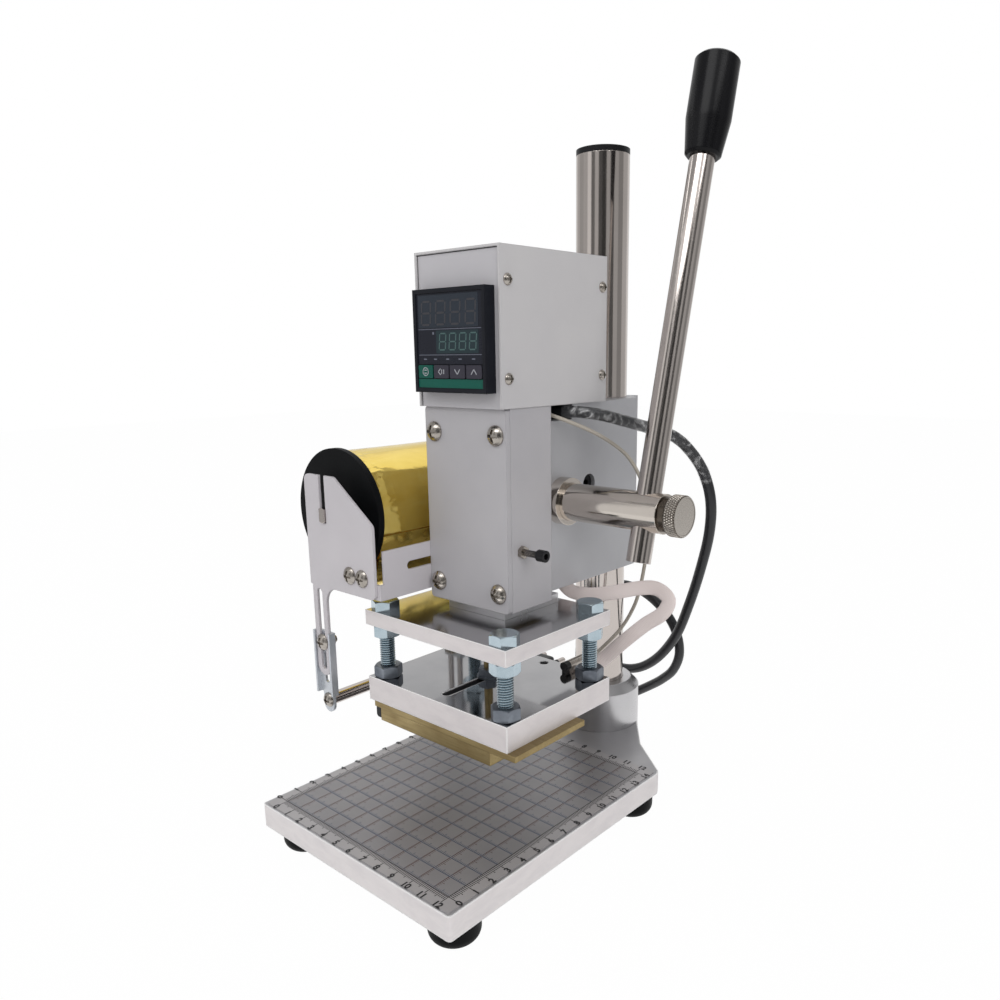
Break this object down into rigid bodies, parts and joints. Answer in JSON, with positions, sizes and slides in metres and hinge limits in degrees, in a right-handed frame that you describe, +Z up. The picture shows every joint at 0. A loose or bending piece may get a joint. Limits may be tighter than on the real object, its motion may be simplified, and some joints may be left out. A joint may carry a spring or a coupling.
{
  "type": "hot foil stamping machine",
  "caption": "Hand-lever hot foil stamping machine: gridded table, column-mounted head with rack-driven heated plate and brass die, temperature controller and foil roll holder",
  "frame": {"origin": "middle of the machine's box on the bench, without the free cord", "axes": "+X to the machine's right, +Y to its back, +Z up"},
  "size_m": [0.2265, 0.291, 0.3854],
  "materials": {
    "base_aluminium": "satin",
    "block_aluminium": "satin",
    "plate_aluminium": "bright milled",
    "printed_sheet": "satin print",
    "white_paint": "satin powder coat",
    "nickel": "polished nickel",
    "zinc": "blue zinc plate",
    "screw_steel": "nickel plate",
    "black_steel": "black oxide",
    "tool_steel": "ground",
    "brass": "milled",
    "black_rubber": "matte",
    "black_plastic": "satin",
    "case_plastic": "fine texture",
    "face_plastic": "gloss",
    "key_green": "satin",
    "key_grey": "satin",
    "gold_foil": "mirror foil",
    "card": "plain",
    "fibre_sleeve": "woven",
    "lead_sheath": "plain",
    "cord_sheath": "satin"
  },
  "bodies": {
    "base": {"base_plate": "base_aluminium", "base_scale": "printed_sheet", "rubber_feet": "black_rubber", "foot_screws": "zinc", "column_collar": "base_aluminium", "collar_screw": "black_steel", "column": "nickel", "column_cap": "black_plastic", "mains_cord": "cord_sheath", "mains_coil": "cord_sheath", "mains_plug": "cord_sheath"},
    "head": {"head_block": "block_aluminium", "clamp_screws": "black_steel", "pinion_bushes": "nickel", "slide_housing": "white_paint", "front_cover": "white_paint", "cover_screws": "screw_steel", "ram_guides": "brass", "gib_adjuster": "black_steel", "control_chassis": "white_paint", "control_cover": "white_paint", "box_screws": "screw_steel", "controller_case": "case_plastic", "controller_face": "face_plastic", "foil_bracket": "white_paint", "bracket_screws": "screw_steel", "foil_front_plate": "white_paint", "foil_rear_plate": "white_paint", "foil_spindle": "nickel", "cord_gland": "black_plastic", "heater_lead": "fibre_sleeve", "probe_lead": "lead_sheath"},
    "hub": {"pinion_shaft": "nickel"},
    "knob": {"clamp_knob": "nickel"},
    "lever": {"lever_rod": "nickel", "lever_grip": "black_plastic"},
    "ram": {"ram_bar": "tool_steel", "ram_rack": "tool_steel", "upper_plate": "plate_aluminium", "heating_plate": "plate_aluminium", "plate_bolts": "zinc", "plate_nuts": "zinc", "heater_cartridges": "tool_steel", "probe": "screw_steel", "die_stop": "black_steel"},
    "carrier": {"die_carrier": "brass", "die_block": "brass", "carrier_stud": "brass", "carrier_nut": "black_steel"},
    "roll": {"foil_core": "card", "foil_roll": "gold_foil", "roll_flanges": "black_plastic"},
    "guide": {"guide_links": "zinc", "guide_rod": "nickel", "guide_screws": "zinc"},
    "set_key": {"key_set": "key_green"},
    "shift_key": {"key_shift": "key_grey"},
    "down_key": {"key_down": "key_grey"},
    "up_key": {"key_up": "key_grey"}
  },
  "joints": [
    {"name": "head_height", "type": "slide", "parent": "base", "child": "head", "axis": [0, 0, 1], "range_m": [-0.012, 0.06], "deforming": ["mains_cord"]},
    {"name": "lever_turn", "type": "hinge", "parent": "head", "child": "hub", "pos_m": [0.0035, 0.0185, 0.1748], "axis": [1, 0, 0], "range_deg": [0, 120]},
    {"name": "ram_press", "type": "slide", "parent": "head", "child": "ram", "axis": [0, 0, -1], "range_m": [0, 0.018], "deforming": ["heater_lead", "probe_lead"]},
    {"name": "rod_reach", "type": "slide", "parent": "hub", "child": "lever", "axis": [0, 0.2487, 0.9686], "range_m": [-0.01, 0.01]},
    {"name": "knob_turn", "type": "hinge", "parent": "hub", "child": "knob", "pos_m": [0.0035, 0.0185, 0.1748], "axis": [1, 0, 0], "continuous": true},
    {"name": "carrier_slide", "type": "slide", "parent": "ram", "child": "carrier", "axis": [0, -1, 0], "range_m": [0, 0.03]},
    {"name": "roll_turn", "type": "hinge", "parent": "head", "child": "roll", "pos_m": [-0.0665, -0.015, 0.16805], "axis": [0, 1, 0], "continuous": true},
    {"name": "guide_height", "type": "slide", "parent": "head", "child": "guide", "axis": [0, 0, 1], "range_m": [-0.011, 0.01]},
    {"name": "set_press", "type": "slide", "parent": "head", "child": "set_key", "axis": [0, 1, 0], "range_m": [0, 0.0005], "stiffness_N_per_m": 300},
    {"name": "shift_press", "type": "slide", "parent": "head", "child": "shift_key", "axis": [0, 1, 0], "range_m": [0, 0.0005], "stiffness_N_per_m": 300},
    {"name": "down_press", "type": "slide", "parent": "head", "child": "down_key", "axis": [0, 1, 0], "range_m": [0, 0.0005], "stiffness_N_per_m": 300},
    {"name": "up_press", "type": "slide", "parent": "head", "child": "up_key", "axis": [0, 1, 0], "range_m": [0, 0.0005], "stiffness_N_per_m": 300}
  ],
  "couplings": [
    {"joint": "ram_press", "follows": "lever_turn", "m_per_rad": 0.0085}
  ]
}
